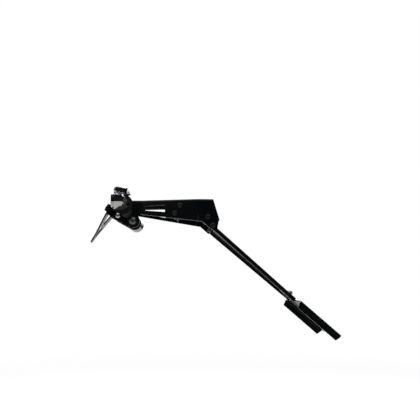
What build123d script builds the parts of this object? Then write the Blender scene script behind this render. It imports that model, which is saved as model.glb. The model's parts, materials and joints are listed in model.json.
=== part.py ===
# Tail tidy for a motorbike: a folded arm, its undertray, and the plate, lamp and indicators that it carries.
# Frame: X forward, Y left, Z up, millimetres. Origin: centre of the four tail bolts, on the arm's upper face.
import os
from math import atan2, cos, radians, sin, tan

from build123d import *

# Sheet metal
sheet = 2.5
bend_radius = 4.0

# M5 button-head bolts and their nuts
bolt_d = 5.0
bolt_hole_d = 5.5
head_d = 9.5
head_h = 2.8
socket_af = 3.0
socket_depth = 1.6
nut_af = 8.0
nut_h = 4.0
bolt_tail = 1.5

# Arm: plan
arm_front_x = 30.0
arm_rear_x = -128.5
taper_front_x = 4.0
taper_rear_x = -95.0
front_half_width = 46.5
ear_half_width = 21.0
plan_round = 12.0

# Arm: side
wall_depth_rear = 25.0
wall_rear_x = -98.0
knee_x = 11.4
knee_depth = 40.0
knee_lap = 21.0
lap_height = 21.5
lap_lip = 1.5
slot_end_x = -54.0
slot_round = 1.0
upper_slot = {"tip": (-90.0, -12.0), "top": -9.5, "bottom": -14.2}
lower_slot = {"tip": (-88.5, -18.4), "top": -17.6, "bottom": -25.2}

# Arm: rear ears
stud_x = -122.0
stud_z = -20.7
pivot_x = -110.5
pivot_z = -37.0
lug_radius = 12.5
ear_corner_radius = 6.0
clamp_eye_radius = 8.0

# Bolt holes to the motorbike's tail
tail_hole_d = 6.5
tail_spacing_x = 44.0
tail_spacing_y = 48.0

# Brace between the arm's walls
brace_x = -30.0
brace_z = -18.6
brace_length = 25.0
brace_width = 15.0
brace_bolt_pitch = 16.0
brace_bolt_setback = 2.0
brace_sheet = 2.0
grommet_hole_d = 16.0
grommet_bore_d = 11.0
grommet_flange_d = 21.0
grommet_flange_t = 2.0

# Undertray: along its slope, across it, and square to it
slope_deg = 40.8
tray_length = 192.0
tray_tab_rear = 26.0
tray_tab_front = 6.0
tray_tab_height = 18.0
tray_start = 3.0
tray_parallel = 10.0
tray_end_half_width = 22.0
tray_depth = 7.5
tray_bolts = ((-3.0, 5.5), (-19.0, 11.0))
tray_slot_length = 26.0
tray_slot_width = 11.0
tray_slot_pitch = 46.0
tray_slot_count = 3
tray_slot_first = 44.0

# Lower mount: a wide plate with a tongue and two ears
mount_tongue_length = 27.0
mount_tongue_half_width = 17.0
mount_tongue_gap = 2.0
mount_length = 88.5
mount_half_width = 63.5
mount_ear_depth = 13.0
mount_ear_slant = 2.5
mount_ear_round = 1.0
mount_score = 12.0
mount_score_width = 1.0
mount_score_depth = 0.6
mount_corner = 4.0
mount_hole_d = 6.5
mount_hole_spacing = 100.0
mount_window = (40.0, 30.0)
mount_window_pitch = 44.0
mount_window_round = 6.0
mount_bolt_spacing = 20.0
mount_bolt_inset = 12.0

# Plate holder: a Y-shaped plate on the slope of the number plate
plate_slope_deg = 57.6
plate_bar_x = -149.4
plate_bar_z = -19.6
plate_hole_spacing = 128.0
plate_hole_d = 5.5
plate_tip_radius = 6.5
pad_half_width = 17.0
pad_up = 12.0
pad_radius = 5.0
stem_shoulder = 14.0
stem_shoulder_half_width = 38.0
stem_shoulder_radius = 6.0
stem_taper = 47.0
stem_taper_half_width = 9.0
stem_length = 65.0
stem_end_radius = 7.0
upper_window = {"top": (4.0, 17.0), "bottom": (26.0, 6.0)}
lower_window = {"top": (32.0, 10.0), "bottom": (52.0, 3.0)}
window_round = 2.0
holder_bolt_spacing = 19.0
holder_bolt_s = -4.0

# Plate bracket: a folded U between the ears
bracket_web_up = 8.4
bracket_web_down = 2.2
bracket_cheek_up = 11.5
bracket_cheek_down = 8.0
bracket_corner = 2.0
bracket_face_trim = 0.2
bracket_pivot_radius = 12.0
bracket_stud_clearance = 11.5
clamp_p = 15.0
clamp_up = 0.0
pivot_d = 8.0
pivot_hole_d = 8.4
pivot_head_d = 13.5
pivot_head_h = 4.2
pivot_socket_af = 5.0
pivot_socket_depth = 2.6
pivot_washer_d = 17.0
pivot_washer_t = 1.6
pivot_nut_af = 13.0
pivot_nut_h = 6.5

# Plate light on the arm's tab
lamp_tilt_deg = 12.0
tab_height = 23.5
tab_width = 32.0
lamp_rise = 17.5
lamp_width = 46.0
lamp_length = 20.5
lamp_front_height = 8.0
lamp_rear_height = 5.0
lamp_slope = 5.0
lamp_corner = 4.0
lamp_edge = 1.0
lamp_wall = 2.0
lamp_pocket = 4.0
lamp_lens_drop = 6.0
lamp_lens_draft = 8.0
lamp_fit = 0.1
lamp_board_t = 1.2
lamp_board_gap = 0.4
lamp_led_d = 3.0
lamp_led_h = 1.0
lamp_led_gap = 0.3
lamp_led_pitch = 12.0
lamp_stud_d = 4.0
lamp_stud_spacing = 24.0
lamp_stud_depth = 1.6
lamp_stud_out = 5.0
lamp_nut_af = 7.0
lamp_nut_h = 3.2
gland_d = 7.0
gland_bore_d = 4.0
gland_flange_d = 10.5
gland_flange_t = 2.5

# Indicators: corners are given forward of the stud, outwards from the middle plane, and above the stud
indicator_neck_y = 88.0
indicator_neck_radius = 9.5
indicator_wide_y = 150.0
indicator_tip_y = 192.0
indicator_rear = -12.9
indicator_nose = 21.2
indicator_nose_height = -5.4
indicator_top = 10.2
indicator_bottom = -19.7
indicator_round_start = 5.0
indicator_corner = 2.0
heel_forward = -0.3
heel_height = -8.9
tip_rear = -7.3
tip_front = 7.8
tip_top = 3.3
tip_bottom = -6.9
base_rear = -12.3
base_top = 9.6
base_keel = -13.6
base_heel = (-11.7, -10.6)
base_keel_rear = -6.5
base_keel_front = 5.0
base_flank = (14.7, -8.6)
base_cheek = (17.4, -2.2)
base_brow = 6.7
flute_heights = (3.0, 5.8)
flute_height = 1.2
flute_depth = 0.7
flute_share = 0.7
lens_thickness = 4.0
lens_skin = 1.8
pocket_in_y = 140.0
pocket_out_y = 171.0
pocket_bottom = -8.6
pocket_top = 3.6
pocket_depth = 11.0
indicator_board_t = 1.6
indicator_led_d = 3.2
indicator_led_h = 1.2
stalk_flange_radius = 10.5
stalk_flange_t = 3.0
stalk_neck_radius = 7.2
stalk_end_radius = 8.5
stalk_collar = 6.0
stalk_rib_count = 7
stud_d = 8.0
stud_bore_d = 5.0
stud_hole_d = 8.4
stud_reach = 26.0
stud_nut_af = 13.0
stud_nut_h = 5.0
stud_washer_d = 16.0
stud_washer_t = 1.2
stud_tail = 2.0

os.makedirs("parts", exist_ok=True)

# Directions and planes that several pieces share
slope = radians(slope_deg)
slope_u = Vector(cos(slope), 0, -sin(slope))
slope_w = Vector(sin(slope), 0, cos(slope))
knee = Vector(knee_x, 0, -knee_depth)
slope_origin = knee + slope_u * knee_lap + slope_w * lap_lip
slope_plane = Plane(slope_origin, x_dir=slope_u, z_dir=slope_w)
slope_side = Plane(slope_origin, x_dir=slope_u, z_dir=(0, -1, 0))

plate_tilt = radians(plate_slope_deg)
plate_down = Vector(-cos(plate_tilt), 0, -sin(plate_tilt))
plate_back = Vector(-sin(plate_tilt), 0, cos(plate_tilt))
plate_origin = Vector(plate_bar_x, 0, plate_bar_z)
plate_plane = Plane(plate_origin, x_dir=(0, 1, 0), z_dir=plate_back)
cheek_side = Plane(plate_origin, x_dir=-plate_back, z_dir=(0, -1, 0))

lamp_tilt = radians(lamp_tilt_deg)
lamp_rearward = Vector(-cos(lamp_tilt), 0, sin(lamp_tilt))
lamp_up = Vector(sin(lamp_tilt), 0, cos(lamp_tilt))
lamp_origin = Vector(arm_rear_x, 0, 0) + lamp_up * lamp_rise
lamp_side = Plane(lamp_origin, x_dir=lamp_rearward, z_dir=(0, 1, 0))
lamp_under = Plane(lamp_origin, x_dir=(0, 1, 0), z_dir=-lamp_up)
lamp_front = Plane(lamp_origin, x_dir=(0, 1, 0), z_dir=-lamp_rearward)

ear_inner = ear_half_width - sheet
front_inner = front_half_width - sheet
taper_angle = atan2(front_half_width - ear_half_width, taper_front_x - taper_rear_x)
clamp_point = plate_origin - plate_back * clamp_p - plate_down * clamp_up
pivot_point = Vector(pivot_x, 0, pivot_z)
arm_reach = 3 * abs(arm_rear_x)
sides = (-1, 1)


def along_plate(point):
    """The point's distance ahead of the plate and above its bar."""
    offset = point - plate_origin
    return (offset.dot(-plate_back), offset.dot(-plate_down))


def wall_half_width(x):
    """Outer half width of the arm where its walls splay."""
    share = (x - taper_rear_x) / (taper_front_x - taper_rear_x)
    return ear_half_width + share * (front_half_width - ear_half_width)


def seat(x, half_width, z, side, turn=0.0):
    """A plane on a side wall that faces outwards, turned with the wall's splay."""
    outward = Vector(sin(turn) * -1, side * cos(turn), 0)
    return Plane((x, side * half_width, z), x_dir=(0, 0, 1), z_dir=outward)


def button_bolt(diameter, length, width, height, af, depth):
    """A button-head bolt that points down, with its seat at Z = 0."""
    with BuildPart() as bolt:
        with BuildSketch():
            Circle(width / 2)
        extrude(amount=height)
        fillet(bolt.edges().group_by(Axis.Z)[-1], height * 0.7)
        with BuildSketch(Plane.XY.offset(height)):
            RegularPolygon(af / 2, 6, major_radius=False)
        extrude(amount=-depth, mode=Mode.SUBTRACT)
        with BuildSketch():
            Circle(diameter / 2)
        extrude(amount=-length)
        chamfer(bolt.edges().group_by(Axis.Z)[0], diameter * 0.1)
    return bolt.part


def hex_nut(af, bore, height):
    """A nut that stands on Z = 0 and reaches down."""
    with BuildPart() as nut:
        with BuildSketch():
            RegularPolygon(af / 2, 6, major_radius=False)
            Circle(bore / 2, mode=Mode.SUBTRACT)
        extrude(amount=-height)
    return nut.part


def washer(outer, bore, thickness):
    """A flat washer that stands on Z = 0 and reaches up."""
    with BuildPart() as ring:
        with BuildSketch():
            Circle(outer / 2)
            Circle(bore / 2, mode=Mode.SUBTRACT)
        extrude(amount=thickness)
    return ring.part


def group(master, planes):
    """Copies of one small piece, each on a plane of its own."""
    with BuildPart() as copies:
        with Locations(*[plane.location for plane in planes]):
            add(master)
    return copies.part


def save(piece, name):
    """Labels a finished piece and writes its file."""
    piece.label = name
    export_step(piece, f"parts/{name}.step")


def m5_bolt(grip):
    """An M5 bolt for a stack of the given thickness and its nut."""
    return button_bolt(bolt_d, grip + nut_h + bolt_tail, head_d, head_h, socket_af, socket_depth)


m5_nut = hex_nut(nut_af, bolt_d, nut_h)


def hull(*circles):
    """The outline drawn tight around circles, each given as its place and radius."""
    with BuildSketch() as outline:
        for across, up, radius in circles:
            with Locations((across, up)):
                Circle(radius)
        make_hull()
    return outline.sketch


def plan_prism(inset, top):
    """The arm's plan as a prism that ends at the given height, set in by a wall."""
    shift = inset * tan(taper_angle / 2)
    with BuildPart() as prism:
        with BuildSketch(Plane.XY.offset(-arm_reach)) as plan:
            with BuildLine():
                Polyline(
                    (-arm_reach, 0),
                    (-arm_reach, ear_half_width - inset),
                    (taper_rear_x + shift, ear_half_width - inset),
                    (taper_front_x + shift, front_half_width - inset),
                    (arm_reach, front_half_width - inset),
                    (arm_reach, 0),
                    close=True,
                )
            make_face()
            kinks = plan.vertices().filter_by_position(Axis.X, taper_rear_x, taper_front_x + 2 * shift)
            fillet(kinks, plan_round)
            mirror(about=Plane.XZ)
        extrude(amount=arm_reach + top)
    return prism.part


def folded_prism(inset, top):
    """The same prism with its top edges folded over."""
    with BuildPart() as prism:
        add(plan_prism(inset, top))
        upper_edges = prism.faces().sort_by(Axis.Z)[-1].edges()
        fillet(upper_edges.filter_by(Axis.Y, reverse=True), bend_radius - inset)
    return prism.part


# Arm: one folded sheet with a top plate, two walls, two ears and the lamp's tab
lap_front_low = knee + slope_u * knee_lap
lap_front_high = lap_front_low + slope_w * lap_height
brace_centre = Vector(brace_x, 0, brace_z)
brace_bolt_middle = brace_centre + plate_back * brace_bolt_setback
brace_bolt_points = [brace_bolt_middle + plate_down * (k * brace_bolt_pitch / 2) for k in sides]
brace_seats = []
for side in sides:
    for point in brace_bolt_points:
        brace_seats.append(seat(point.X, wall_half_width(point.X), point.Z, side, taper_angle))

with BuildPart() as arm:
    add(folded_prism(0.0, 0.0))
    add(folded_prism(sheet, -sheet), mode=Mode.SUBTRACT)
    with BuildSketch(Plane.XZ):
        with BuildLine():
            Polyline(
                (arm_rear_x + ear_corner_radius, 0),
                (arm_front_x, 0),
                (lap_front_high.X, lap_front_high.Z),
                (lap_front_low.X, lap_front_low.Z),
                (knee_x, -knee_depth),
                (wall_rear_x, -wall_depth_rear),
                (stud_x, stud_z),
                close=True,
            )
        make_face()
        add(
            hull(
                (arm_rear_x + ear_corner_radius, -ear_corner_radius, ear_corner_radius),
                (clamp_point.X, clamp_point.Z, clamp_eye_radius),
                (pivot_x, pivot_z, lug_radius),
            )
        )
    extrude(amount=arm_reach, both=True, mode=Mode.INTERSECT)
    with BuildSketch(Plane.XZ):
        for slot in (upper_slot, lower_slot):
            add(
                hull(
                    (*slot["tip"], slot_round),
                    (slot_end_x - slot_round, slot["top"] - slot_round, slot_round),
                    (slot_end_x - slot_round, slot["bottom"] + slot_round, slot_round),
                )
            )
    extrude(amount=arm_reach, both=True, mode=Mode.SUBTRACT)
    with BuildSketch(Plane.XY):
        with GridLocations(tail_spacing_x, tail_spacing_y, 2, 2):
            Circle(tail_hole_d / 2)
    extrude(amount=-sheet, mode=Mode.SUBTRACT)
    with BuildSketch(Plane.XZ):
        with Locations((stud_x, stud_z)):
            Circle(stud_hole_d / 2)
        with Locations((pivot_x, pivot_z)):
            Circle(pivot_hole_d / 2)
        with Locations((clamp_point.X, clamp_point.Z)):
            Circle(bolt_hole_d / 2)
    extrude(amount=arm_reach, both=True, mode=Mode.SUBTRACT)
    with BuildSketch(slope_side):
        with Locations(*tray_bolts):
            Circle(bolt_hole_d / 2)
    extrude(amount=arm_reach, both=True, mode=Mode.SUBTRACT)
    for wall in brace_seats:
        with BuildSketch(wall):
            Circle(bolt_hole_d / 2)
        extrude(amount=-2 * sheet, mode=Mode.SUBTRACT)
    with BuildSketch(lamp_side):
        with BuildLine():
            Polyline(
                (0, -lamp_rise),
                (0, tab_height - lamp_rise),
                (-sheet, tab_height - lamp_rise),
                (-sheet, -lamp_rise),
                close=True,
            )
        make_face()
    extrude(amount=tab_width / 2, both=True)
    with BuildSketch(Plane.XY):
        with BuildLine():
            Polyline(
                (arm_rear_x, -tab_width / 2),
                (arm_rear_x, tab_width / 2),
                (arm_rear_x + ear_corner_radius * 2, tab_width / 2),
                (arm_rear_x + ear_corner_radius * 2, -tab_width / 2),
                close=True,
            )
        make_face()
    extrude(amount=-sheet)
    with BuildSketch(lamp_front):
        with Locations((-lamp_stud_spacing / 2, 0), (lamp_stud_spacing / 2, 0)):
            Circle(lamp_stud_d / 2)
        Circle(gland_d / 2)
    extrude(amount=sheet, mode=Mode.SUBTRACT)
save(arm.part, "arm")


# Brace: a cross plate with two flanges that follow the splayed walls
brace_side = Plane(brace_centre, x_dir=-plate_back, z_dir=(0, -1, 0))
brace_front = brace_centre - plate_back * (brace_width / 2)
brace_face = Plane(brace_front, x_dir=(0, 1, 0), z_dir=-plate_back)

with BuildPart() as brace_space:
    with BuildSketch(brace_side):
        with Locations((-brace_sheet, 0)):
            Rectangle(brace_width, brace_length)
    extrude(amount=front_half_width, both=True)
    add(plan_prism(sheet + brace_sheet, 0.0), mode=Mode.INTERSECT)

with BuildPart() as arm_brace:
    with BuildSketch(brace_side):
        Rectangle(brace_width, brace_length)
    extrude(amount=front_half_width, both=True)
    add(plan_prism(sheet, 0.0), mode=Mode.INTERSECT)
    add(brace_space.part, mode=Mode.SUBTRACT)
    with BuildSketch(brace_face):
        Circle(grommet_hole_d / 2)
    extrude(amount=-brace_sheet, mode=Mode.SUBTRACT)
    for wall in brace_seats:
        with BuildSketch(wall):
            Circle(bolt_hole_d / 2)
        extrude(amount=-(sheet + 2 * brace_sheet), mode=Mode.SUBTRACT)
save(arm_brace.part, "arm_brace")

brace_grip = sheet + brace_sheet
save(group(m5_bolt(brace_grip), brace_seats), "arm_brace_bolts")
save(group(m5_nut, [wall.offset(-brace_grip) for wall in brace_seats]), "arm_brace_nuts")

with BuildPart() as cable_grommet:
    with BuildSketch(brace_face.offset(-brace_sheet - grommet_flange_t)):
        Circle(grommet_flange_d / 2)
    extrude(amount=grommet_flange_t)
    with BuildSketch(brace_face.offset(-brace_sheet)):
        Circle(grommet_hole_d / 2)
    extrude(amount=brace_sheet)
    with BuildSketch(brace_face):
        Circle(grommet_flange_d / 2)
    extrude(amount=grommet_flange_t)
    flange_rims = cable_grommet.edges().filter_by(GeomType.CIRCLE)
    fillet(flange_rims.filter_by(lambda e: e.radius > grommet_hole_d / 2), grommet_flange_t * 0.3)
    with BuildSketch(brace_face):
        Circle(grommet_bore_d / 2)
    extrude(amount=brace_width, both=True, mode=Mode.SUBTRACT)
save(cable_grommet.part, "cable_grommet")


# Undertray: a shallow channel, open below, with side tabs inside the arm's walls
def tray_outline(inset, start, end):
    """The undertray's plan along its slope, set in by a wall."""
    with BuildSketch() as plan:
        with BuildLine():
            Polyline(
                (start, 0),
                (start, front_inner - inset),
                (tray_parallel, front_inner - inset),
                (end, tray_end_half_width - inset),
                (end, 0),
                close=True,
            )
        make_face()
        mirror(about=Plane.XZ)
    return plan.sketch


def tray_block(inset, start, end):
    """The undertray's form along its slope, set in by a wall, with its upper edges folded over."""
    with BuildPart() as block:
        with BuildSketch(slope_plane):
            add(tray_outline(inset, start, end))
        extrude(amount=tray_depth - inset)
        folds = block.faces().sort_by(Axis(slope_origin, slope_w))[-1].edges()
        fillet(folds.filter_by(Axis.Y, reverse=True), bend_radius - inset)
    return block.part


tray_bolt_seats = []
for side in sides:
    for u, w in tray_bolts:
        point = slope_origin + slope_u * u + slope_w * w
        tray_bolt_seats.append(seat(point.X, front_half_width, point.Z, side))
mount_bolt_u = tray_length - mount_bolt_inset

with BuildPart() as undertray:
    add(tray_block(0.0, tray_start, tray_length))
    add(tray_block(sheet, tray_start - sheet, tray_length + sheet), mode=Mode.SUBTRACT)
    for outer in (front_inner, sheet - front_inner):
        with BuildSketch(slope_side.offset(outer - sheet)):
            with BuildLine():
                Polyline(
                    (-tray_tab_rear, 0),
                    (tray_parallel, 0),
                    (tray_parallel, tray_depth - bend_radius),
                    (tray_tab_front, tray_depth),
                    (0, tray_tab_height),
                    (-tray_tab_rear, tray_tab_height),
                    close=True,
                )
            make_face()
        extrude(amount=sheet)
    with BuildSketch(slope_side):
        with Locations(*tray_bolts):
            Circle(bolt_hole_d / 2)
    extrude(amount=arm_reach, both=True, mode=Mode.SUBTRACT)
    with BuildSketch(slope_plane):
        slot_places = [(tray_slot_first + k * tray_slot_pitch, 0) for k in range(tray_slot_count)]
        with Locations(*slot_places):
            SlotOverall(tray_slot_length, tray_slot_width)
        with Locations((mount_bolt_u, -mount_bolt_spacing / 2), (mount_bolt_u, mount_bolt_spacing / 2)):
            Circle(bolt_hole_d / 2)
    extrude(amount=tray_depth, mode=Mode.SUBTRACT)
save(undertray.part, "undertray")

tray_grip = 2 * sheet
save(group(m5_bolt(tray_grip), tray_bolt_seats), "undertray_bolts")
save(group(m5_nut, [wall.offset(-tray_grip) for wall in tray_bolt_seats]), "undertray_nuts")

# Lower mount: its tongue lies under the undertray's end, its ears point down
mount_top = slope_plane.offset(tray_depth - sheet)
mount_start = tray_length + mount_tongue_gap
mount_end = mount_start + mount_length
mount_middle = mount_start + mount_length / 2
ear_top = tray_depth - sheet
ear_bottom = ear_top - mount_ear_depth


def mount_block(inset, start, end):
    """The lower mount's form, set in by a wall, with its upper edges folded over."""
    with BuildPart() as block:
        with BuildSketch(slope_side):
            with BuildLine():
                Polyline(
                    (start, ear_bottom - inset),
                    (start, ear_top - inset),
                    (end, ear_top - inset),
                    (end, ear_bottom - inset),
                    close=True,
                )
            make_face()
        extrude(amount=mount_half_width - inset, both=True)
        folds = block.faces().sort_by(Axis(slope_origin, slope_w))[-1].edges()
        fillet(folds.filter_by(Axis.Y, reverse=True), bend_radius - inset)
    return block.part


with BuildPart() as lower_mount:
    add(mount_block(0.0, mount_start, mount_end))
    add(mount_block(sheet, mount_start - sheet, mount_end + sheet), mode=Mode.SUBTRACT)
    with BuildSketch(slope_side) as ear:
        with BuildLine():
            Polyline(
                (mount_start, ear_top),
                (mount_end, ear_top),
                (mount_end, ear_top - bend_radius),
                (mount_end - mount_ear_slant, ear_bottom),
                (mount_start + mount_ear_slant, ear_bottom),
                (mount_start, ear_top - bend_radius),
                close=True,
            )
        make_face()
        fillet(ear.vertices().group_by(Axis.Y)[0], mount_ear_round)
    extrude(amount=mount_half_width, both=True, mode=Mode.INTERSECT)
    for outer in (mount_half_width, mount_score_depth - mount_half_width):
        with BuildSketch(slope_side.offset(outer - mount_score_depth)):
            with Locations((mount_start + mount_score, (ear_top + ear_bottom) / 2)):
                Rectangle(mount_score_width, mount_ear_depth)
        extrude(amount=mount_score_depth, mode=Mode.SUBTRACT)
    with BuildSketch(mount_top) as tongue:
        with BuildLine():
            Polyline(
                (tray_length - mount_tongue_length, 0),
                (tray_length - mount_tongue_length, mount_tongue_half_width),
                (mount_start, mount_tongue_half_width),
                (mount_start, mount_tongue_half_width + 2 * mount_corner),
                (mount_start + sheet, mount_tongue_half_width + 2 * mount_corner),
                (mount_start + sheet, 0),
                close=True,
            )
        make_face()
        mirror(about=Plane.XZ)
        root_reach = mount_tongue_half_width + mount_corner
        roots = tongue.vertices().filter_by_position(Axis.X, tray_length, mount_start + sheet / 2)
        fillet(roots.filter_by_position(Axis.Y, -root_reach, root_reach), mount_corner)
    extrude(amount=-sheet)
    with BuildSketch(mount_top):
        with Locations((mount_middle, -mount_hole_spacing / 2), (mount_middle, mount_hole_spacing / 2)):
            Circle(mount_hole_d / 2)
        with Locations((mount_bolt_u, -mount_bolt_spacing / 2), (mount_bolt_u, mount_bolt_spacing / 2)):
            Circle(bolt_hole_d / 2)
        with Locations((mount_middle, -mount_window_pitch / 2), (mount_middle, mount_window_pitch / 2)):
            RectangleRounded(*mount_window, mount_window_round)
    extrude(amount=-sheet, mode=Mode.SUBTRACT)
save(lower_mount.part, "lower_mount")

mount_grip = 2 * sheet
mount_seats = []
for side in sides:
    point = slope_origin + slope_u * mount_bolt_u + slope_w * (tray_depth - mount_grip)
    point = point + Vector(0, side * mount_bolt_spacing / 2, 0)
    mount_seats.append(Plane(point, x_dir=slope_u, z_dir=-slope_w))
save(group(m5_bolt(mount_grip), mount_seats), "lower_mount_bolts")
save(group(m5_nut, [under.offset(-mount_grip) for under in mount_seats]), "lower_mount_nuts")

# Plate holder: a bar with eyes at its ends and a stem that narrows downwards
eye = plate_hole_spacing / 2
shoulder = stem_shoulder_half_width - stem_shoulder_radius
stem_end = stem_length - stem_end_radius


def stem_window(window):
    """An opening that narrows downwards with the stem."""
    top, top_half_width = window["top"]
    bottom, bottom_half_width = window["bottom"]
    corners = []
    for k in sides:
        corners.append((k * (top_half_width - window_round), top + window_round, window_round))
        corners.append((k * (bottom_half_width - window_round), bottom - window_round, window_round))
    return hull(*corners)


holder_bolt_places = [(k * holder_bolt_spacing / 2, holder_bolt_s) for k in sides]

with BuildPart() as plate_holder:
    with BuildSketch(plate_plane) as outline:
        add(hull((-eye, 0, plate_tip_radius), (eye, 0, plate_tip_radius)))
        add(
            hull(
                (pad_radius - pad_half_width, pad_radius - pad_up, pad_radius),
                (pad_half_width - pad_radius, pad_radius - pad_up, pad_radius),
                (-shoulder, stem_shoulder - stem_shoulder_radius, stem_shoulder_radius),
                (shoulder, stem_shoulder - stem_shoulder_radius, stem_shoulder_radius),
                (0, stem_taper, stem_taper_half_width),
            )
        )
        add(hull((0, stem_taper, stem_taper_half_width), (0, stem_end, stem_end_radius)))
        add(stem_window(upper_window), mode=Mode.SUBTRACT)
        add(stem_window(lower_window), mode=Mode.SUBTRACT)
        with Locations((-eye, 0), (eye, 0)):
            Circle(plate_hole_d / 2, mode=Mode.SUBTRACT)
        with Locations(*holder_bolt_places):
            Circle(bolt_hole_d / 2, mode=Mode.SUBTRACT)
    extrude(amount=sheet)
save(plate_holder.part, "plate_holder")

# Plate bracket: a web on the holder's front and two cheeks that reach the pivot
pivot_place = along_plate(pivot_point)
stud_place = along_plate(Vector(stud_x, 0, stud_z))
cheek_corner = bracket_corner - bracket_face_trim

with BuildPart() as plate_bracket:
    for outer in (ear_inner, sheet - ear_inner):
        with BuildSketch(cheek_side.offset(outer - sheet)):
            add(
                hull(
                    (cheek_corner, bracket_cheek_up - bracket_corner, bracket_corner),
                    (cheek_corner, bracket_corner - bracket_cheek_down, bracket_corner),
                    (*pivot_place, bracket_pivot_radius),
                )
            )
            Rectangle(
                bracket_corner,
                2 * (bracket_cheek_up + bracket_cheek_down),
                align=(Align.MAX, Align.CENTER),
                mode=Mode.SUBTRACT,
            )
            with Locations(stud_place):
                Circle(bracket_stud_clearance, mode=Mode.SUBTRACT)
            with Locations(pivot_place):
                Circle(pivot_hole_d / 2, mode=Mode.SUBTRACT)
            with Locations((clamp_p, clamp_up)):
                Circle(bolt_hole_d / 2, mode=Mode.SUBTRACT)
        extrude(amount=sheet)
    with BuildSketch(cheek_side):
        with BuildLine():
            Polyline(
                (0, -bracket_web_down),
                (sheet, -bracket_web_down),
                (sheet, bracket_web_up),
                (0, bracket_web_up),
                close=True,
            )
        make_face()
    extrude(amount=ear_inner, both=True)
    with BuildSketch(plate_plane):
        with Locations(*holder_bolt_places):
            Circle(bolt_hole_d / 2)
    extrude(amount=-sheet, mode=Mode.SUBTRACT)
save(plate_bracket.part, "plate_bracket")

holder_seats = []
for across, s in holder_bolt_places:
    point = plate_origin + Vector(0, across, 0) + plate_down * s + plate_back * sheet
    holder_seats.append(Plane(point, x_dir=(0, 1, 0), z_dir=plate_back))
holder_grip = 2 * sheet
save(group(m5_bolt(holder_grip), holder_seats), "plate_holder_bolts")
save(group(m5_nut, [rear.offset(-holder_grip) for rear in holder_seats]), "plate_holder_nuts")

clamp_seats = [seat(clamp_point.X, ear_half_width, clamp_point.Z, side) for side in sides]
clamp_grip = 2 * sheet
save(group(m5_bolt(clamp_grip), clamp_seats), "clamp_bolts")
save(group(m5_nut, [wall.offset(-clamp_grip) for wall in clamp_seats]), "clamp_nuts")

pivot_seats = [seat(pivot_x, ear_half_width, pivot_z, side) for side in sides]
pivot_grip = pivot_washer_t + 2 * sheet
pivot_bolt = button_bolt(
    pivot_d,
    pivot_grip + pivot_nut_h + bolt_tail,
    pivot_head_d,
    pivot_head_h,
    pivot_socket_af,
    pivot_socket_depth,
)
save(group(pivot_bolt, [wall.offset(pivot_washer_t) for wall in pivot_seats]), "pivot_bolts")
save(group(washer(pivot_washer_d, pivot_d, pivot_washer_t), pivot_seats), "pivot_washers")
pivot_nut = hex_nut(pivot_nut_af, pivot_d, pivot_nut_h)
save(group(pivot_nut, [wall.offset(-2 * sheet) for wall in pivot_seats]), "pivot_nuts")

# Plate light: a housing on the tab, open below, with its board and clear lens
lamp_low = -lamp_front_height / 2
lamp_ceiling = lamp_low + lamp_pocket
lamp_middle = (0, -lamp_length / 2)
pocket_size = (lamp_width - 2 * lamp_wall, lamp_length - 2 * lamp_wall)
pocket_corner = lamp_corner - lamp_wall
stud_spots = [(k * lamp_stud_spacing / 2, 0) for k in sides]

with BuildPart() as lamp_housing:
    with BuildSketch(lamp_side):
        with BuildLine():
            Polyline(
                (0, lamp_low),
                (0, lamp_low + lamp_front_height),
                (lamp_length - lamp_slope, lamp_low + lamp_front_height),
                (lamp_length, lamp_low + lamp_rear_height),
                (lamp_length, lamp_low),
                close=True,
            )
        make_face()
    extrude(amount=lamp_width / 2, both=True)
    rear_corners = lamp_housing.edges().filter_by(Axis(lamp_origin, lamp_up))
    fillet(rear_corners.sort_by(Axis(lamp_origin, lamp_rearward))[-2:], lamp_corner)
    roof = lamp_housing.faces().sort_by(Axis(lamp_origin, lamp_up))[-1]
    fillet(roof.edges().filter_by(Axis.Y, reverse=True), lamp_edge)
    with BuildSketch(lamp_under.offset(-lamp_low)):
        with Locations(lamp_middle):
            RectangleRounded(*pocket_size, pocket_corner)
    extrude(amount=-lamp_pocket, mode=Mode.SUBTRACT)
    with BuildSketch(lamp_front):
        with Locations(*stud_spots):
            Circle(lamp_stud_d / 2)
    extrude(amount=-lamp_stud_depth, mode=Mode.SUBTRACT)
save(lamp_housing.part, "lamp_housing")

with BuildPart() as lamp_board:
    with BuildSketch(lamp_under.offset(-lamp_ceiling)):
        with Locations(lamp_middle):
            RectangleRounded(pocket_size[0] - lamp_board_gap, pocket_size[1] - lamp_board_gap, pocket_corner)
    extrude(amount=lamp_board_t)
    with BuildSketch(lamp_under.offset(lamp_board_t - lamp_ceiling)):
        with Locations(*[(k * lamp_led_pitch, lamp_middle[1]) for k in (-1, 0, 1)]):
            Circle(lamp_led_d / 2)
    extrude(amount=lamp_led_h)
save(lamp_board.part, "lamp_board")

lens_size = (lamp_width - 2 * lamp_edge, lamp_length - 2 * lamp_edge)
lens_plug = lamp_pocket - lamp_board_t - lamp_led_h - lamp_led_gap
with BuildPart() as lamp_lens:
    with BuildSketch(lamp_under.offset(-lamp_low)):
        with Locations(lamp_middle):
            RectangleRounded(*lens_size, lamp_corner - lamp_edge)
    extrude(amount=lamp_lens_drop, taper=lamp_lens_draft)
    lens_rim = lamp_lens.faces().sort_by(Axis(lamp_origin, lamp_up))[0].edges()
    fillet(lens_rim, lamp_edge)
    with BuildSketch(lamp_under.offset(-lamp_low)):
        with Locations(lamp_middle):
            RectangleRounded(pocket_size[0] - 2 * lamp_fit, pocket_size[1] - 2 * lamp_fit, pocket_corner)
    extrude(amount=-lens_plug)
    with BuildSketch(lamp_under.offset(-lamp_low - lens_plug)):
        with Locations(lamp_middle):
            RectangleRounded(pocket_size[0] - 2 * lamp_wall, pocket_size[1] - 2 * lamp_wall, lamp_edge)
    extrude(amount=lens_plug + lamp_lens_drop - lamp_wall, taper=lamp_lens_draft, mode=Mode.SUBTRACT)
save(lamp_lens.part, "lamp_lens")

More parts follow.
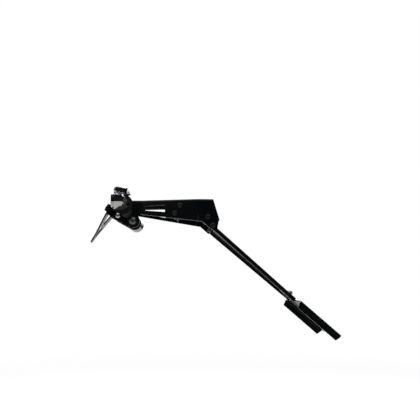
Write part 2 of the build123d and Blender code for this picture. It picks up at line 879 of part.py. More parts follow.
with BuildPart() as lamp_studs:
    with BuildSketch(lamp_front.offset(-lamp_stud_depth)):
        with Locations(*stud_spots):
            Circle(lamp_stud_d / 2)
    extrude(amount=lamp_stud_depth + sheet + lamp_stud_out)
save(lamp_studs.part, "lamp_studs")

with BuildPart() as lamp_nuts:
    with BuildSketch(lamp_front.offset(sheet)):
        with Locations(*stud_spots):
            RegularPolygon(lamp_nut_af / 2, 6, major_radius=False)
            Circle(lamp_stud_d / 2, mode=Mode.SUBTRACT)
    extrude(amount=lamp_nut_h)
save(lamp_nuts.part, "lamp_nuts")

with BuildPart() as lamp_gland:
    with BuildSketch(lamp_front):
        Circle(gland_d / 2)
    extrude(amount=sheet)
    with BuildSketch(lamp_front.offset(sheet)):
        Circle(gland_flange_d / 2)
    extrude(amount=gland_flange_t)
    fillet(lamp_gland.edges().sort_by(Axis(lamp_origin, lamp_rearward))[0], gland_flange_t * 0.4)
    with BuildSketch(lamp_front):
        Circle(gland_bore_d / 2)
    extrude(amount=sheet + gland_flange_t, mode=Mode.SUBTRACT)
save(lamp_gland.part, "lamp_gland")

# Indicators: the right one is modelled, the left one is its mirror image
stud_axis = Axis((stud_x, 0, stud_z), (0, -1, 0))


def indicator_plane(y):
    """A plane across the right indicator's axis that faces outwards."""
    return Plane((stud_x, -y, stud_z), x_dir=(1, 0, 0), z_dir=(0, -1, 0))


def indicator_point(forward, out, up):
    """A place on the right indicator, from its stud's axis and the middle plane."""
    return Vector(stud_x + forward, -out, stud_z + up)


def indicator_outline():
    """End view of an indicator's housing: a flat rear, a cut lower corner and a round nose."""
    with BuildSketch() as outline:
        with BuildLine():
            Polyline(
                (heel_forward, indicator_bottom),
                (indicator_rear, heel_height),
                (indicator_rear, indicator_top),
                (indicator_round_start, indicator_top),
            )
            ThreePointArc(
                (indicator_round_start, indicator_top),
                (indicator_nose, indicator_nose_height),
                (heel_forward, indicator_bottom),
            )
        make_face()
        fillet(outline.vertices().sort_by(Axis.X)[:2], indicator_corner)
    return outline.sketch


def facet(corner, other, along):
    """A plane through two corners of the right indicator, along a direction, that faces outwards."""
    first = indicator_point(*corner)
    across = indicator_point(*other) - first
    normal = across.cross(along).normalized()
    if normal.dot(first - indicator_point(0, indicator_wide_y, 0)) < 0:
        normal = normal * -1
    return Plane(first, x_dir=across, z_dir=normal)


def between(corner, other):
    """The direction from one corner of the right indicator to another."""
    return indicator_point(*other) - indicator_point(*corner)


forward = Vector(1, 0, 0)
upward = Vector(0, 0, 1)
tip_upper = (tip_front, indicator_tip_y, tip_top)
tip_lower = (tip_front, indicator_tip_y, tip_bottom)
tip_inner = (tip_rear, indicator_tip_y, tip_bottom)
heel = (base_heel[0], indicator_wide_y, base_heel[1])
keel_rear = (base_keel_rear, indicator_wide_y, base_keel)
keel_front = (base_keel_front, indicator_wide_y, base_keel)
flank = (base_flank[0], indicator_wide_y, base_flank[1])
cheek = (base_cheek[0], indicator_wide_y, base_cheek[1])
brow = (base_brow, indicator_wide_y, base_top)
lens_face = facet(tip_inner, (base_rear, indicator_wide_y, tip_bottom), upward)
flute_face = facet(tip_lower, flank, between(flank, cheek))
end_facets = (
    lens_face,
    flute_face,
    facet(tip_upper, brow, forward),
    facet(tip_upper, cheek, between(cheek, brow)),
    facet(tip_lower, keel_front, forward),
    facet(tip_lower, keel_front, between(keel_front, flank)),
    facet(tip_inner, heel, between(heel, keel_rear)),
)

with BuildPart() as faceted_end:
    with BuildSketch(indicator_plane(indicator_wide_y)):
        add(indicator_outline())
    extrude(amount=indicator_tip_y - indicator_wide_y)
    for end_facet in end_facets:
        split(bisect_by=end_facet, keep=Keep.BOTTOM)
    with BuildSketch(flute_face):
        run = between(tip_lower, flank).length
        for height in flute_heights:
            with Locations((run / 2, height)):
                SlotOverall(run * flute_share, flute_height)
    extrude(amount=-flute_depth, mode=Mode.SUBTRACT)

with BuildPart() as indicator_form:
    with BuildSketch(indicator_plane(indicator_neck_y)):
        Circle(indicator_neck_radius)
    with BuildSketch(indicator_plane(indicator_wide_y)):
        add(indicator_outline())
    loft()
    add(faceted_end.part)

lens_plane = lens_face.offset(-lens_thickness)
pocket_middle = indicator_point(0, (pocket_in_y + pocket_out_y) / 2, (pocket_bottom + pocket_top) / 2)
pocket_spot = lens_plane.to_local_coords(pocket_middle)
pocket_origin = lens_plane.from_local_coords(Vector(pocket_spot.X, pocket_spot.Y, 0))
pocket_plane = Plane(pocket_origin, x_dir=upward, z_dir=lens_plane.z_dir * -1)
pocket_width = pocket_out_y - pocket_in_y
pocket_height = pocket_top - pocket_bottom
board_plane = pocket_plane.offset(pocket_depth - indicator_board_t)

with BuildPart() as body_right:
    add(indicator_form.part)
    split(bisect_by=lens_plane, keep=Keep.BOTTOM)
    with BuildSketch(pocket_plane):
        RectangleRounded(pocket_height, pocket_width, lens_skin)
    extrude(amount=pocket_depth, mode=Mode.SUBTRACT)

with BuildPart() as lens_right:
    add(indicator_form.part)
    split(bisect_by=lens_plane, keep=Keep.TOP)
    with BuildSketch(pocket_plane):
        RectangleRounded(pocket_height, pocket_width, lens_skin)
    extrude(amount=lens_skin - lens_thickness, mode=Mode.SUBTRACT)

with BuildPart() as board_right:
    with BuildSketch(board_plane):
        RectangleRounded(pocket_height - lamp_board_gap, pocket_width - lamp_board_gap, lens_skin)
    extrude(amount=indicator_board_t)
    with BuildSketch(board_plane):
        with GridLocations(pocket_height / 2, pocket_width / 3, 2, 3):
            Circle(indicator_led_d / 2)
    extrude(amount=-indicator_led_h)

stalk_start = ear_half_width
stud_end = stalk_start + stud_reach
rib_start = stalk_start + 2 * stalk_flange_t
rib_pitch = (indicator_neck_y - stalk_collar - rib_start) / stalk_rib_count

with BuildPart() as stalk_right:
    with BuildSketch(Plane((stud_x, 0, stud_z))):
        with BuildLine():
            profile = [
                (stud_d / 2, -stalk_start),
                (stalk_flange_radius, -stalk_start),
                (stalk_flange_radius, -stalk_start - stalk_flange_t),
                (stalk_neck_radius, -rib_start),
            ]
            for k in range(stalk_rib_count):
                low = rib_start + k * rib_pitch
                profile.append((stalk_neck_radius, -low - rib_pitch / 2))
                profile.append((stalk_end_radius, -low - rib_pitch * 0.75))
                profile.append((stalk_neck_radius, -low - rib_pitch))
            profile += [
                (stalk_end_radius, -indicator_neck_y + stalk_collar),
                (stalk_end_radius, -indicator_neck_y),
                (stud_bore_d / 2, -indicator_neck_y),
                (stud_bore_d / 2, -stud_end),
                (stud_d / 2, -stud_end),
            ]
            Polyline(*profile, close=True)
        make_face()
    revolve(axis=stud_axis)

stud_inner = ear_inner - stud_washer_t - stud_nut_h - stud_tail
with BuildPart() as stud_right:
    with BuildSketch(indicator_plane(stud_inner)):
        Circle(stud_d / 2)
        Circle(stud_bore_d / 2, mode=Mode.SUBTRACT)
    extrude(amount=stud_end - stud_inner)

right_pieces = {
    "indicator_body": body_right.part,
    "indicator_lens": lens_right.part,
    "indicator_board": board_right.part,
    "indicator_stalk": stalk_right.part,
    "indicator_stud": stud_right.part,
}
for name, right_piece in right_pieces.items():
    with BuildPart() as left_piece:
        add(mirror(right_piece, about=Plane.XZ, mode=Mode.PRIVATE))
    save(right_piece, name + "_right")
    save(left_piece.part, name + "_left")

ear_seats = [seat(stud_x, ear_inner, stud_z, side) for side in sides]
stud_washer = washer(stud_washer_d, stud_d, stud_washer_t)
save(group(stud_washer, [wall.offset(-stud_washer_t) for wall in ear_seats]), "indicator_washers")
stud_nut = hex_nut(stud_nut_af, stud_d, stud_nut_h)
save(group(stud_nut, [wall.offset(-stud_washer_t) for wall in ear_seats]), "indicator_nuts")
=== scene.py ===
# Looks of the tail tidy: camera, studio light, finishes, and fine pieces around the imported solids.
import json
import math

import bmesh
import bpy
import numpy as np
from mathutils import Matrix, Vector


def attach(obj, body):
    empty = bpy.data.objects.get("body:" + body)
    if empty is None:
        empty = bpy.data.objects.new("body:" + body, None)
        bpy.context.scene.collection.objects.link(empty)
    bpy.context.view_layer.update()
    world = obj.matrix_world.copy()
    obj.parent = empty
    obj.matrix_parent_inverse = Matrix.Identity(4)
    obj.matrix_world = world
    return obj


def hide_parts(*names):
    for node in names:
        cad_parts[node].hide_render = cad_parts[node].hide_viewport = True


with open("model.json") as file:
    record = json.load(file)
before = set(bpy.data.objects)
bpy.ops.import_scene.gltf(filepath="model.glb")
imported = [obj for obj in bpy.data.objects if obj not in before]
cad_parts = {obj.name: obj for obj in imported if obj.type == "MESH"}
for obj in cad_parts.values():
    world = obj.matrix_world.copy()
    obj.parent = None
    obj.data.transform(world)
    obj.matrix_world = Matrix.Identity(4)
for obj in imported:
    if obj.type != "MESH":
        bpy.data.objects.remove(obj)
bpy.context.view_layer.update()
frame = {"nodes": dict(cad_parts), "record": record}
nodes = frame["nodes"]
scene = bpy.context.scene
scene.view_settings.view_transform = "Standard"
MM = 0.001

# Camera: close to the right side, a little below the arm
EYE = Vector((-34.2, -1000.0, -147.6)) * MM
AIM = Vector((27.4, 0.0, -13.6)) * MM
VIEW_ANGLE = math.radians(41.5)
NEAREST_SEEN = 10 * MM

# Studio: metres, degrees of bearing, and light levels
FLOOR_Z = -0.62
FLOOR_RADIUS = 3.2
FLOOR_FADE = 1.6
FLOOR_SIDES = 96
FLOOR_GLOW = 0.69
FLOOR_COLOUR = (0.42, 0.42, 0.42, 1)
AMBIENT = 0.55
SCREEN_RADIUS = 2.4
SCREEN_SIDES = (-150, 70)
SCREEN_STEPS = 32
SCREEN_TOP = 1.9
WHITE = (1, 1, 1, 1)
LAMPS = {
    "overhead": {"place": (0.1, -0.2, 1.5), "size": 2.6, "power": 16.0},
    "rear_side": {"place": (-1.4, -0.9, 0.7), "size": 1.7, "power": 9.0},
    "far_side": {"place": (0.5, 1.5, 0.8), "size": 1.8, "power": 9.0},
}

# Finishes: base roughness, zinc's brightness, colours, the levels that pick out edges and upper faces,
# and the Wave texture's own rate
SATIN_COAT = 0.16
MATT_COAT = 0.5
SATIN_PLASTIC = 0.22
GLOSS_PLASTIC = 0.12
BRIGHT_ZINC = 0.48
DULL_ZINC = 0.1
RUBBED_ZINC = 0.62
CLEAR_TINT = (0.6, 0.65, 0.72, 1)
SMOKE_TINT = (0.12, 0.12, 0.13, 1)
COPPER = (0.5, 0.42, 0.28, 1)
PHOSPHOR = (0.82, 0.62, 0.16, 1)
PALE_PHOSPHOR = (0.9, 0.78, 0.4, 1)
HAZE_SHADE = 0.9
EDGE_LEVELS = (0.01, 0.2)
UP_LEVELS = (0.3, 0.95)
WAVE_RATE = 20

# Edges of pressed and moulded pieces, millimetres: width of the softened edge
SOFT_EDGE = {
    "arm": 0.4,
    "arm_brace": 0.3,
    "undertray": 0.4,
    "lower_mount": 0.4,
    "plate_bracket": 0.35,
    "plate_holder": 0.4,
    "pivot_washers": 0.25,
    "indicator_washers": 0.2,
    "lamp_housing": 0.4,
    "lamp_lens": 0.15,
    "indicator_lens_left": 0.35,
    "indicator_lens_right": 0.35,
}
EDGE_STEPS = 2
EDGE_ANGLE = math.radians(28)
FLAT_ANGLE = math.radians(0.2)
SMOOTH_ANGLE = math.radians(32)
JOIN_DISTANCE = 1e-6

# Nodes whose fine form is grown
BOLT_NODES = (
    "arm_brace_bolts", "undertray_bolts", "lower_mount_bolts", "plate_holder_bolts", "clamp_bolts"
)
NUT_NODES = (
    "arm_brace_nuts", "undertray_nuts", "lower_mount_nuts", "plate_holder_nuts", "clamp_nuts", "pivot_nuts",
    "lamp_nuts", "indicator_nuts",
)
STUD_NODES = ("lamp_studs", "indicator_stud_left", "indicator_stud_right")
BOARD_NODES = ("lamp_board", "indicator_board_left", "indicator_board_right")

# Measuring the solids: metres, square metres, and shares of a solid's own size
SAME_PLACE = 1e-7
SAME_LEVEL = 1e-5
LEAST_AREA = 1e-14
NEARLY_UPRIGHT = 0.9
RIM_SHARE = 0.9
SHANK_START = 0.3
CHIP_REACH = 3.6 * MM
ANY_SIDE = np.array((0.31, 0.17, 0.93))

# Turned forms: steps around and along, a dome's degrees, a radius in metres that limits nothing, and how far
# a hexagon's corner stands out from its flats
LATHE_SIDES = 48
DOME_STEPS = 6
DOME_TURN = 90
CHAMFER_STEPS = 5
NO_LIMIT = 1.0
HEX_CORNER = 1 / math.cos(math.pi / 6) - 1

# Threads: shares of the shank's width or of the pitch, and steps of a turn and around the ridge
THREAD_PITCH = 0.16
STUD_PITCH = 0.14
THREAD_DEPTH = 0.5
THREAD_RUNOUT = -0.6
STUD_SINK = 0.8
TURN_STEPS = 28
RIDGE_SIDES = 4

# Button screws: shares of the head's width and height, of the socket, of the core and of the pitch
SOCKET_SHARE = 0.36
SOCKET_DEPTH = 0.55
SOCKET_CONE = 0.08
SOCKET_FLARE = 1.04
FLARE_START = 0.25
FLARE_END = 0.45
MOUTH_SHARE = 1.3
LIP_SHARE = 0.14
SEAT_SHARE = 0.97
SEAT_RISE = 0.3
TIP_SHARE = 0.8

# Nuts: shares of the bore, of the flats and of the corner
SINK_SHARE = 0.12
FACE_SHARE = 0.96
CHAMFER_FALL = 0.62

# Light chips: shares of the measured disc's height and width
CHIP_TALL = 1.08
CHIP_FOOT = 0.3
FLANGE_SHARE = 1.3
FLANGE_SIDE = 0.8
FLANGE_TOP = 1.22
CHIP_DOME = 1.04
DOME_FULLNESS = 0.6


# Node trees as expressions
class Value:
    """A socket's value: Python's operators on it add Math nodes to its tree."""

    def __init__(self, graph, socket):
        self.graph = graph
        self.socket = socket

    def __add__(self, other):
        return self.graph.math("ADD", self, other)

    __radd__ = __add__

    def __sub__(self, other):
        return self.graph.math("SUBTRACT", self, other)

    def __rsub__(self, other):
        return self.graph.math("SUBTRACT", other, self)

    def __mul__(self, other):
        return self.graph.math("MULTIPLY", self, other)

    __rmul__ = __mul__

    def __truediv__(self, other):
        return self.graph.math("DIVIDE", self, other)

    def __rtruediv__(self, other):
        return self.graph.math("DIVIDE", other, self)


class Graph:
    """A node tree, of a material, the world or Geometry Nodes."""

    def __init__(self, tree):
        self.tree = tree

    def node(self, kind, settings=None, **sockets):
        """Adds a node: its settings first, then the values or links of its sockets."""
        made = self.tree.nodes.new(kind)
        for name, setting in (settings or {}).items():
            if name == "items":
                self.set_items(made, setting)
            else:
                setattr(made, name, setting)
        for name, given in sockets.items():
            self.feed(self.find(made.inputs, name), given)
        return made

    def value(self, kind, settings=None, out=0, **sockets):
        """Adds a node and gives one of its outputs."""
        made = self.node(kind, settings, **sockets)
        return Value(self, self.find(made.outputs, out) if isinstance(out, str) else made.outputs[out])

    def math(self, operation, *given):
        """A Math node on its values or numbers."""
        sockets = dict(zip(("Value", "Value_001"), given))
        return self.value("ShaderNodeMath", {"operation": operation}, **sockets)

    def feed(self, socket, given):
        """Links a value to a socket, or sets the socket itself."""
        if isinstance(given, Value):
            self.tree.links.new(given.socket, socket)
        else:
            socket.default_value = given

    @staticmethod
    def find(sockets, name):
        """A socket by its identifier, or by its name with underscores for spaces."""
        for socket in sockets:
            if socket.identifier == name and socket.enabled:
                return socket
        spaced = name.replace("_", " ")
        return next(socket for socket in sockets if socket.name == spaced and socket.enabled)

    @staticmethod
    def set_items(switch, count):
        """The number of choices of an index switch."""
        while len(switch.index_switch_items) < count:
            switch.index_switch_items.new()


class Finish(Graph):
    """A material around one Principled shader, with its patterns on Object coordinates."""

    def __init__(self, name):
        self.material = bpy.data.materials.new(name)
        self.material.use_nodes = True
        super().__init__(self.material.node_tree)
        self.tree.nodes.clear()
        self.place = self.value("ShaderNodeTexCoord", out="Object")

    def surface(self, **sockets):
        """The Principled shader with its sockets, linked to the output."""
        shader = self.value("ShaderNodeBsdfPrincipled", **sockets)
        self.node("ShaderNodeOutputMaterial", Surface=shader)
        return self.material

    def noise(self, size, detail, roughness=0.5):
        """Noise with patches of about the given size in metres, from 0 to 1."""
        return self.value(
            "ShaderNodeTexNoise", Vector=self.place, Scale=1.0 / size, Detail=detail, Roughness=roughness
        )

    def spread(self, value, low, high):
        """Stretches the part of a value between two levels to 0 and 1, smoothly."""
        smooth = {"interpolation_type": "SMOOTHSTEP"}
        return self.value("ShaderNodeMapRange", smooth, Value=value, From_Min=low, From_Max=high)

    def blend(self, factor, first, second):
        """A colour between two colours."""
        return self.value(
            "ShaderNodeMix", {"data_type": "RGBA"}, out="Result_Color",
            Factor_Float=factor, A_Color=first, B_Color=second,
        )

    def bump(self, height, depth, strength, **normal):
        """A normal that follows a height, with its depth in metres."""
        return self.value("ShaderNodeBump", Height=height, Distance=depth, Strength=strength, **normal)

    def rounded(self, radius, samples):
        """A normal that turns smoothly over edges, as if they were rounded."""
        return self.value("ShaderNodeBevel", {"samples": samples}, Radius=radius)

    def facing(self, first, second):
        """How far two directions agree: 1 where they are the same."""
        return self.value(
            "ShaderNodeVectorMath", {"operation": "DOT_PRODUCT"}, out="Value", Vector=first, Vector_001=second
        )

    def edges(self, radius):
        """1 on edges that are sharper than the radius, 0 on flat faces."""
        soft = self.rounded(radius, samples=4)
        true = self.value("ShaderNodeNewGeometry", out="Normal")
        return self.spread(1 - self.facing(soft, true), *EDGE_LEVELS)

    def upward(self):
        """1 on faces that look up, 0 on the others."""
        normal = self.value("ShaderNodeNewGeometry", out="Normal")
        return self.spread(self.facing(normal, (0, 0, 1)), *UP_LEVELS)


def grey(level, tint=0.0):
    """A grey with a slight lean to blue, or to yellow below zero."""
    return (level * (1 - tint), level, level * (1 + tint), 1)


# Finishes
def powder_coat(name, rough):
    """Black coat on folded sheet: orange peel, rubbed edges and a little dust on top."""
    coat = Finish(name)
    patches = coat.noise(30 * MM, detail=4.0)
    grain = coat.noise(0.9 * MM, detail=2.0)
    speckle = coat.noise(0.35 * MM, detail=1.0)
    handled = coat.spread(coat.noise(8 * MM, detail=3.0), 0.4, 0.65)
    settled = coat.spread(coat.noise(3 * MM, detail=6.0, roughness=0.75), 0.35, 0.7)
    rubbed = coat.edges(0.6 * MM) * (0.35 + 0.65 * handled)
    dust = coat.upward() * (0.3 + 0.7 * settled) * 0.2
    base = coat.blend(patches, grey(0.0021, 0.25), grey(0.0036, 0.25))
    base = coat.blend(rubbed * 0.6, base, grey(0.04, 0.02))
    base = coat.blend(dust, base, grey(0.03, -0.05))
    return coat.surface(
        Base_Color=base, Roughness=rough + patches * 0.07 + speckle * 0.04 + dust * 0.3 - rubbed * 0.05,
        IOR=1.2, Normal=coat.bump(grain + speckle * 0.3, 0.01 * MM, 0.5),
    )


def black_plating():
    """Blackened steel of the bolts and washers, worn bright on its edges."""
    plate = Finish("black_plating")
    patches = plate.noise(2.5 * MM, detail=4.0, roughness=0.6)
    fine = plate.noise(0.25 * MM, detail=2.0)
    worn = plate.edges(0.35 * MM) * plate.spread(plate.noise(1.6 * MM, detail=3.0), 0.35, 0.6)
    base = plate.blend(patches, grey(0.006, 0.08), grey(0.012, 0.06))
    base = plate.blend(worn * 0.6, base, grey(0.26, 0.02))
    return plate.surface(
        Base_Color=base, Metallic=0.2 + worn * 0.8, Roughness=0.26 + patches * 0.14 + fine * 0.06, IOR=1.25,
        Normal=plate.bump(fine, 0.008 * MM, 0.5),
    )


def zinc_plating(name, level):
    """Zinc with a faint blue cast, cloudy patches, tool marks and edges that are rubbed bright."""
    zinc = Finish(name)
    clouds = zinc.noise(3.5 * MM, detail=4.0, roughness=0.6)
    marks = zinc.noise(0.3 * MM, detail=2.0)
    stain = zinc.spread(zinc.noise(5 * MM, detail=5.0, roughness=0.7), 0.52, 0.72)
    bright = zinc.edges(0.3 * MM)
    base = zinc.blend(clouds, grey(level * 0.8, 0.04), grey(level * 1.15, 0.02))
    base = zinc.blend(stain * 0.5, base, (level * 0.7, level * 0.62, level * 0.5, 1))
    base = zinc.blend(bright * 0.6, base, grey(RUBBED_ZINC, 0.01))
    return zinc.surface(
        Base_Color=base, Metallic=1.0, Roughness=0.2 + clouds * 0.14 + stain * 0.15 + marks * 0.05,
        Normal=zinc.bump(marks, 0.006 * MM, 0.5),
    )


def black_rubber():
    """Matt rubber with a fine moulded grain and a dusty bloom."""
    rubber = Finish("black_rubber")
    grain = rubber.noise(0.4 * MM, detail=3.0, roughness=0.6)
    bloom = rubber.spread(rubber.noise(7 * MM, detail=5.0, roughness=0.65), 0.4, 0.75)
    base = rubber.blend(bloom, grey(0.004, 0.02), grey(0.011, -0.02))
    return rubber.surface(
        Base_Color=base, Roughness=0.55 + bloom * 0.18 + grain * 0.08, IOR=1.3,
        Normal=rubber.bump(grain, 0.02 * MM, 0.5),
    )


def black_plastic(name, rough):
    """Polished black plastic under a clear skin, with rounded edges, faint swirls and scuffs."""
    plastic = Finish(name)
    swirl = plastic.noise(18 * MM, detail=4.0, roughness=0.6)
    fine = plastic.noise(0.5 * MM, detail=2.0)
    scuffs = plastic.edges(0.5 * MM) * plastic.spread(plastic.noise(2.5 * MM, detail=4.0), 0.45, 0.65)
    base = plastic.blend(swirl, grey(0.0035, 0.05), grey(0.006, -0.1))
    base = plastic.blend(scuffs * 0.6, base, grey(0.03))
    moulded = plastic.rounded(0.4 * MM, samples=6)
    return plastic.surface(
        Base_Color=base, Roughness=rough + swirl * 0.06 + scuffs * 0.25, IOR=1.35,
        Coat_Weight=0.85 - scuffs * 0.5, Coat_Roughness=0.05, Coat_IOR=1.5,
        Normal=plastic.bump(fine + swirl * 2.0, 0.004 * MM, 0.4, Normal=moulded),
    )


def lens_plastic(name, tint, rib, relief, rough):
    """Moulded lens plastic, a little hazy, with fine upright ribs."""
    lens = Finish(name)
    ribs = lens.value(
        "ShaderNodeTexWave", {"wave_type": "BANDS", "bands_direction": "Y", "wave_profile": "SIN"},
        Vector=lens.place, Scale=math.tau / (WAVE_RATE * rib),
    )
    haze = lens.noise(6 * MM, detail=4.0, roughness=0.6)
    hazed = tuple(HAZE_SHADE * part for part in tint[:3]) + (1,)
    return lens.surface(
        Base_Color=lens.blend(haze, tint, hazed), Roughness=rough + haze * 0.05, IOR=1.49,
        Transmission_Weight=1.0, Normal=lens.bump(ribs, relief, 0.35),
    )


def circuit_board():
    """White solder mask with faint copper tracks beneath it."""
    board = Finish("circuit_board")
    tracks = board.value(
        "ShaderNodeTexBrick", {"offset": 0.5, "squash": 1.0}, out="Fac",
        Vector=board.place, Scale=160.0, Mortar_Size=0.06,
    )
    mottle = board.noise(1.2 * MM, detail=3.0)
    base = board.blend(tracks * 0.5, grey(0.7, -0.02), COPPER)
    base = board.blend(mottle * 0.2, base, grey(0.55))
    return board.surface(
        Base_Color=base, Roughness=0.35 + mottle * 0.15, Normal=board.bump(tracks, 0.03 * MM, 0.5)
    )


def light_chip():
    """The warm phosphor under a chip's clear dome, with pale flecks."""
    chip = Finish("light_chip")
    fleck = chip.noise(0.5 * MM, detail=3.0)
    return chip.surface(
        Base_Color=chip.blend(fleck, PHOSPHOR, PALE_PHOSPHOR), Roughness=0.12 + fleck * 0.1,
        Coat_Weight=0.8, Coat_Roughness=0.03, Normal=chip.bump(fleck, 0.01 * MM, 0.3),
    )


finishes = {
    "black_coat": powder_coat("satin_powder_coat", SATIN_COAT),
    "black_steel": black_plating(),
    "bright_steel": zinc_plating("zinc_plating", BRIGHT_ZINC),
    "rubber": black_rubber(),
    "lamp_black": black_plastic("lamp_plastic", SATIN_PLASTIC),
    "indicator_black": black_plastic("indicator_plastic", GLOSS_PLASTIC),
    "lamp_clear": lens_plastic("clear_lens", CLEAR_TINT, rib=3.0 * MM, relief=0.06 * MM, rough=0.04),
    "indicator_smoke": lens_plastic("smoked_lens", SMOKE_TINT, rib=2.4 * MM, relief=0.03 * MM, rough=0.03),
    "board_white": circuit_board(),
}
node_slot = {entry["node"]: entry["material_slot"] for entry in frame["record"]["subparts"]}

for name, node in nodes.items():
    node.data.materials.clear()
    node.data.materials.append(finishes[node_slot[name]])
nodes["arm_brace"].data.materials[0] = powder_coat("matt_powder_coat", MATT_COAT)


# Edges of the pressed and moulded pieces
def soften(node, width):
    """Rounds a solid's sharp edges slightly, so that they catch the light."""
    weld = node.modifiers.new("joined_faces", "WELD")
    weld.merge_threshold = JOIN_DISTANCE
    plain = node.modifiers.new("plain_faces", "DECIMATE")
    plain.decimate_type = "DISSOLVE"
    plain.angle_limit = FLAT_ANGLE
    bevel = node.modifiers.new("soft_edges", "BEVEL")
    bevel.width = width
    bevel.segments = EDGE_STEPS
    bevel.limit_method = "ANGLE"
    bevel.angle_limit = EDGE_ANGLE
    bevel.use_clamp_overlap = True
    bevel.harden_normals = True


for name, width in SOFT_EDGE.items():
    soften(nodes[name], width * MM)


# Fasteners and light chips: measured on their solids
def separate_solids(node):
    """The corner places of each separate solid of a node, and its faces' doubled area vectors."""
    mesh = node.data
    mesh.calc_loop_triangles()
    places = np.array([node.matrix_world @ corner.co for corner in mesh.vertices])
    triangles = np.array([tuple(t.vertices) for t in mesh.loop_triangles])
    _, shared = np.unique(np.round(places / SAME_PLACE), axis=0, return_inverse=True)
    corners = shared.reshape(-1)[triangles]
    label = np.arange(corners.max() + 1)
    while True:
        lowest = label[corners].min(axis=1)
        spread = label.copy()
        for side in range(3):
            np.minimum.at(spread, corners[:, side], lowest)
        spread = spread[spread]
        if (spread == label).all():
            break
        label = spread
    for solid in np.unique(label):
        faces = triangles[label[corners[:, 0]] == solid]
        a, b, c = (places[faces[:, side]] for side in range(3))
        yield places[np.unique(faces)], np.cross(b - a, c - a)


def turning_axis(crossed):
    """The axis of a turned or hexagonal solid, from its faces' doubled area vectors."""
    area = np.linalg.norm(crossed, axis=1)
    kept = area > LEAST_AREA
    normals = crossed[kept] / area[kept, None]
    levels, axes = np.linalg.eigh((normals * area[kept, None]).T @ normals)
    return axes[:, 0] if levels[1] - levels[0] > levels[2] - levels[1] else axes[:, 2]


def measured(node):
    """Each solid of a fastener node: corners, axis, middle line, and the corners' radius and height."""
    for places, crossed in separate_solids(node):
        axis = turning_axis(crossed)
        first = np.cross(axis, (0.0, 0.0, 1.0) if abs(axis[2]) < NEARLY_UPRIGHT else (1.0, 0.0, 0.0))
        first /= np.linalg.norm(first)
        second = np.cross(axis, first)
        middle = np.zeros(3)
        for side in (first, second):
            reach = places @ side
            middle += side * (reach.min() + reach.max()) / 2
        height = places @ axis
        radius = np.linalg.norm(places - middle - np.outer(height, axis), axis=1)
        yield places, axis, middle, radius, height


def standing(axis, across, point):
    """A turn whose Z is the axis and whose X lies across it, and the point where it stands."""
    x = across - axis * np.dot(across, axis)
    x /= np.linalg.norm(x)
    y = np.cross(axis, x)
    return Matrix(np.column_stack((x, y, axis)).tolist()).to_quaternion(), point


def measure_bolts(node):
    """Sizes of a node's bolts, all alike, and the place of each one: head up, seat at zero."""
    spots = []
    for _, axis, middle, radius, height in measured(node):
        rim = height[radius > RIM_SHARE * radius.max()]
        if rim.mean() - height.min() < height.max() - rim.mean():
            axis, height, rim = -axis, -height, -rim
        seat = rim.min()
        length = seat - height.min()
        sizes = {
            "Head Width": 2 * radius.max(),
            "Head Height": height.max() - seat,
            "Length": length,
            "Shank Width": 2 * radius[height < seat - SHANK_START * length].max(),
        }
        spots.append(standing(axis, ANY_SIDE, middle + axis * seat))
    return sizes, spots


def measure_nuts(node):
    """Sizes of a node's nuts, all alike, and the place of each one: its middle at zero."""
    spots = []
    for places, axis, middle, radius, height in measured(node):
        sizes = {
            "Width": 2 * radius.max() * math.cos(math.pi / 6),
            "Thickness": height.max() - height.min(),
            "Bore": 2 * radius.min(),
        }
        corner = places[radius.argmax()] - middle
        spots.append(standing(axis, corner, middle + axis * (height.min() + height.max()) / 2))
    return sizes, spots


def measure_studs(node):
    """Sizes of a node's studs, all alike, and the place of each one: its lower end at zero."""
    spots = []
    for _, axis, middle, radius, height in measured(node):
        sizes = {"Width": 2 * radius.max(), "Length": height.max() - height.min()}
        spots.append(standing(axis, ANY_SIDE, middle + axis * height.min()))
    return sizes, spots


def measure_chips(node):
    """Sizes of a board's light chips, all alike, and the place of each one: its foot at zero."""
    (places, crossed), = separate_solids(node)
    axis = turning_axis(crossed)
    height = places @ axis
    low = places[height < height.min() + SAME_LEVEL]
    high = places[height > height.max() - SAME_LEVEL]
    if np.ptp(low, axis=0).max() < np.ptp(high, axis=0).max():
        axis, height = -axis, -height
    tops = places[height > height.max() - SAME_LEVEL]
    foot = height[height < height.max() - SAME_LEVEL].max()
    spots = []
    while len(tops):
        near = np.linalg.norm(tops - tops[0], axis=1) < CHIP_REACH
        chip = tops[near]
        sizes = {"Width": np.ptp(chip, axis=0).max(), "Height": height.max() - foot}
        middle = (chip.min(axis=0) + chip.max(axis=0)) / 2
        spots.append(standing(axis, ANY_SIDE, middle - axis * sizes["Height"]))
        tops = tops[~near]
    return sizes, spots


# Geometry Nodes: turned forms and threads, set on points
def new_tree(name, sizes):
    """A Geometry Nodes tree with named sizes; gives its graph and its inputs by name."""
    tree = bpy.data.node_groups.new(name, "GeometryNodeTree")
    tree.interface.new_socket("Points", in_out="INPUT", socket_type="NodeSocketGeometry")
    for size in sizes:
        tree.interface.new_socket(size, in_out="INPUT", socket_type="NodeSocketFloat")
    tree.interface.new_socket("Finish", in_out="INPUT", socket_type="NodeSocketMaterial")
    tree.interface.new_socket("Grown", in_out="OUTPUT", socket_type="NodeSocketGeometry")
    graph = Graph(tree)
    given = graph.node("NodeGroupInput")
    return graph, {socket.name: Value(graph, socket) for socket in given.outputs if socket.name}


def pick(graph, index, choices):
    """The choice with the given index, for values and plain numbers."""
    switch = graph.node("GeometryNodeIndexSwitch", {"data_type": "FLOAT", "items": len(choices)})
    graph.feed(switch.inputs[0], index)
    for socket, choice in zip(switch.inputs[1:], choices):
        graph.feed(socket, choice)
    return Value(graph, switch.outputs[0])


def ring(radius, height, hexagon=0, limit=NO_LIMIT):
    """One ring of a turned form: its radius, its height, 1 for a hexagon, and its greatest radius."""
    return radius, height, hexagon, limit


